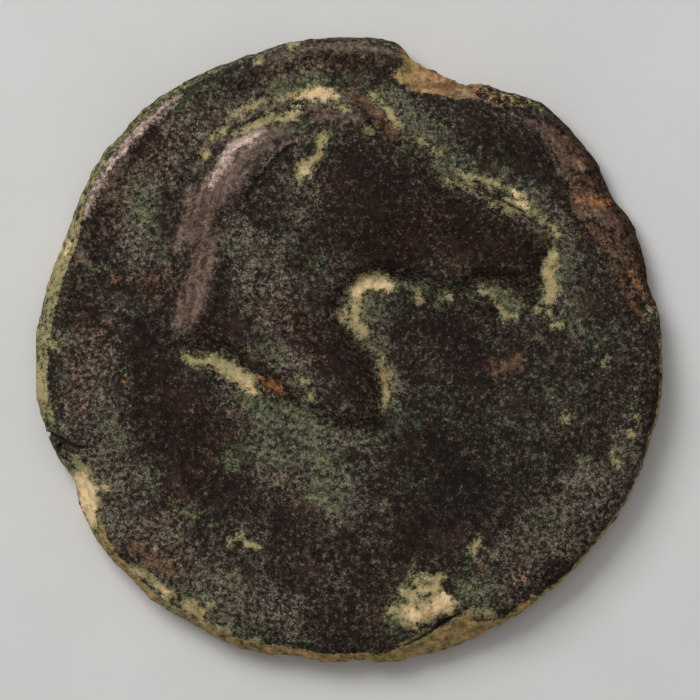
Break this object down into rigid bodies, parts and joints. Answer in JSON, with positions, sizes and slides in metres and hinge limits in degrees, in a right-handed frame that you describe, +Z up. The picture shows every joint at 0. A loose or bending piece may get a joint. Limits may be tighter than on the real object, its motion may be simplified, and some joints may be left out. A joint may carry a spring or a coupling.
{
  "type": "bronze coin",
  "caption": "Ancient struck bronze coin, a thick uneven disc with a worn horse's head in relief on top and a date palm beneath.",
  "frame": {"origin": "middle of the bounding box's base, on the surface that the coin lies on", "axes": "+Z up through the coin, out of the side with the horse's head; +X the way the horse faces; +Y towards the horse's mane and the bite in the rim"},
  "size_m": [0.0206, 0.0206, 0.0025],
  "materials": {
    "bronze": "dark brown patina with green and cream deposits, matt with a low sheen on the high parts"
  },
  "bodies": {
    "root": {"coin": "bronze"}
  },
  "joints": []
}
